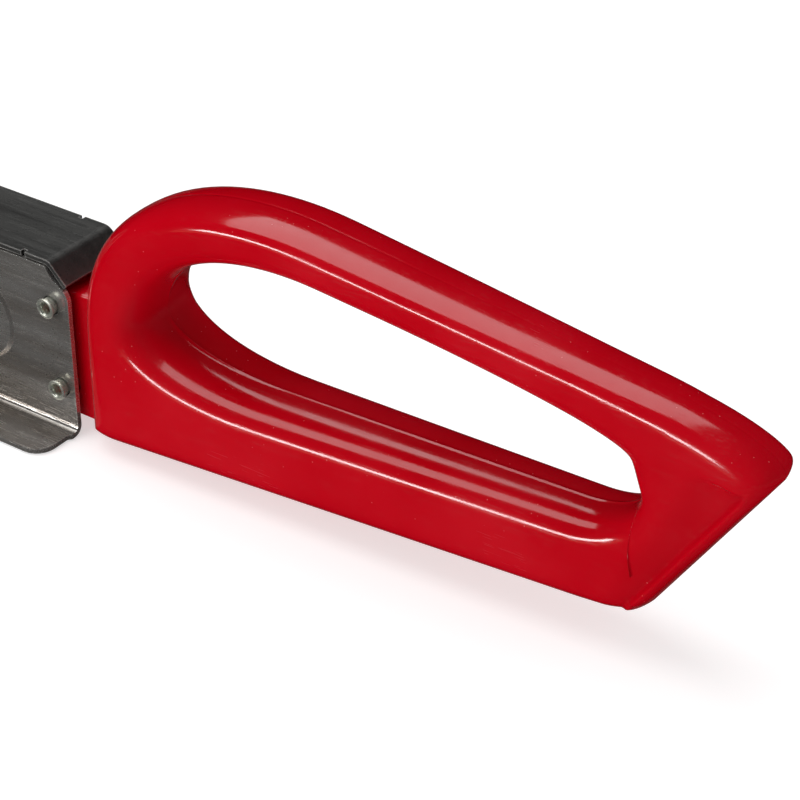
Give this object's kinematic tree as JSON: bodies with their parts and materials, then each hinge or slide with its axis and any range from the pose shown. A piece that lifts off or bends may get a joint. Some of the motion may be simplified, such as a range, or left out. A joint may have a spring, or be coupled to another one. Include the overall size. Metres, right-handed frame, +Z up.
{
  "type": "pipe wrench",
  "caption": "Adjustable pipe wrench with a moulded loop handle, a pressed-sheet body on foot flanges, a fixed heel jaw and a nut-driven hook jaw.",
  "frame": {"origin": "bottom centre of the whole tool's bounding box at rest, on the plane under the foot flanges", "axes": "+X along the tool from the jaws to the handle's tail, +Z up out of the jaw mouth, Y across"},
  "size_m": [0.3458, 0.0462, 0.0711],
  "materials": {
    "red_plastic": "glossy red moulded plastic",
    "pressed_sheet": "bright nickel-plated pressed sheet",
    "web_sheet": "dark satin sheet with scuffs",
    "zinc_rivet": "zinc-plated rivet",
    "machined_steel": "machined bright steel",
    "forged_steel": "dark forged steel",
    "jaw_steel": "blackened steel with bright worn teeth",
    "spring_steel": "blued spring steel"
  },
  "bodies": {
    "wrench_body": {"handle_grip": "red_plastic", "side_plate_near": "pressed_sheet", "side_plate_far": "pressed_sheet", "spine_channel": "web_sheet", "spine_cover": "web_sheet", "handle_rivet_upper": "zinc_rivet", "handle_rivet_lower": "zinc_rivet", "tongue_sleeve_upper": "machined_steel", "tongue_sleeve_lower": "machined_steel", "pivot_stud_near": "pressed_sheet", "pivot_stud_far": "pressed_sheet", "thrust_washer_near": "machined_steel", "thrust_washer_far": "machined_steel", "channel_rivet_rear_near": "zinc_rivet", "channel_rivet_rear_far": "zinc_rivet", "channel_rivet_front_near": "zinc_rivet", "channel_rivet_front_far": "zinc_rivet", "leaf_spring": "spring_steel", "leaf_spring_rivet": "zinc_rivet", "heel_block": "forged_steel", "heel_jaw": "jaw_steel", "heel_jaw_pin": "machined_steel", "heel_rivet_rear": "zinc_rivet", "heel_rivet_front": "zinc_rivet", "front_tie_rivet": "zinc_rivet", "front_tie_sleeve": "machined_steel"},
    "rocker_frame": {"rocker_frame": "forged_steel"},
    "adjusting_nut": {"adjusting_nut": "machined_steel"},
    "hook_jaw": {"hook_jaw": "jaw_steel", "shank_stop_pin": "machined_steel"}
  },
  "joints": [
    {"name": "frame_rock", "type": "hinge", "parent": "wrench_body", "child": "rocker_frame", "pos_m": [-0.02887, 0, 0.023], "axis": [0, 1, 0], "range_deg": [0, 1.8], "stiffness_Nm_per_rad": 20, "springref_deg": -2.86, "deforming": ["leaf_spring"]},
    {"name": "nut_spin", "type": "hinge", "parent": "rocker_frame", "child": "adjusting_nut", "pos_m": [-0.08087, 0, 0.018], "axis": [1, 0, 0], "range_deg": [-2160, 2160]},
    {"name": "jaw_slide", "type": "slide", "parent": "rocker_frame", "child": "hook_jaw", "axis": [-1, 0, 0], "range_m": [-0.0239, 0.0239]}
  ],
  "couplings": [
    {"joint": "nut_spin", "follows": "jaw_slide", "rad_per_m": 1570.8}
  ]
}
